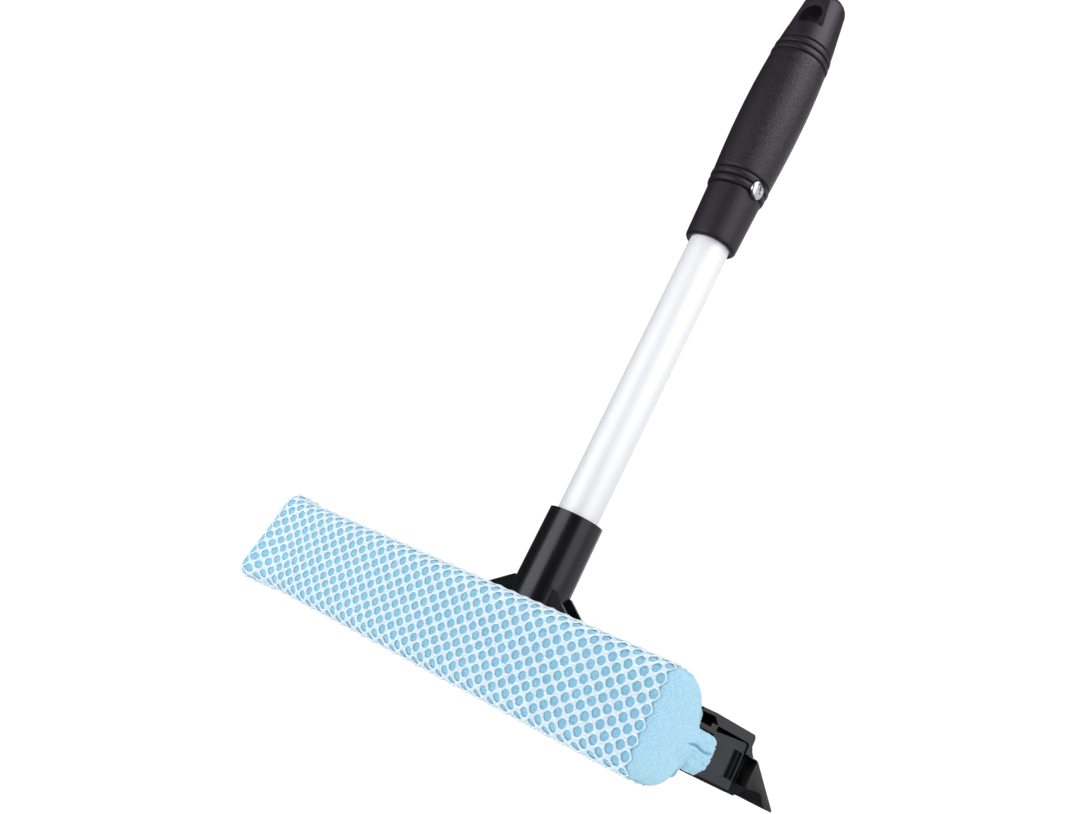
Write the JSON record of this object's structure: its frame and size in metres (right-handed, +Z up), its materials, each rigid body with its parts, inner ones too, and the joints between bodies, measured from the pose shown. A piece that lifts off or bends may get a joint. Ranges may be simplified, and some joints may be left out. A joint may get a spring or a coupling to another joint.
{
  "type": "window squeegee",
  "caption": "Hand window squeegee: a netted foam sponge and a rubber blade on a black moulded head, with an aluminium handle and a moulded grip with a hanging hole.",
  "frame": {"origin": "centre of the hanging hole through the grip's cap, on the handle's axis", "axes": "+Z up along the handle, away from the head; +Y along the hanging hole, from the sponge side to the blade side; +X along the head to its right end as seen from the sponge side"},
  "size_m": [0.2, 0.0961, 0.3247],
  "materials": {
    "head_plastic": "glossy black moulded ABS",
    "bar_plastic": "satin black moulded polypropylene",
    "zinc_steel": "bright zinc-plated steel",
    "foam": "open-cell polyurethane foam, light blue",
    "net": "warp-knitted white-blue nylon net",
    "strip_plastic": "natural polypropylene strip",
    "blade_rubber": "black EPDM rubber, satin",
    "satin_aluminium": "satin anodised aluminium",
    "plug_plastic": "natural nylon",
    "grip_plastic": "black polypropylene, fine grain with satin cuff and cap"
  },
  "bodies": {
    "handle_and_head": {"saddle": "head_plastic", "clamp_bar": "bar_plastic", "clamp_screws": "zinc_steel", "sponge_foam": "foam", "sponge_net": "net", "neck_strip": "strip_plastic", "neck_staples": "zinc_steel", "blade_body": "blade_rubber", "handle_tube": "satin_aluminium", "lower_plug": "plug_plastic", "upper_plug": "plug_plastic", "socket_screw": "zinc_steel", "grip": "grip_plastic", "grip_screw": "zinc_steel"},
    "lip": {"blade_lip": "blade_rubber"}
  },
  "joints": [
    {"name": "lip_bend", "type": "hinge", "parent": "handle_and_head", "child": "lip", "pos_m": [0, 0.0334, -0.29635], "axis": [1, 0, 0], "range_deg": [-35, 35], "stiffness_Nm_per_rad": 0.6}
  ]
}
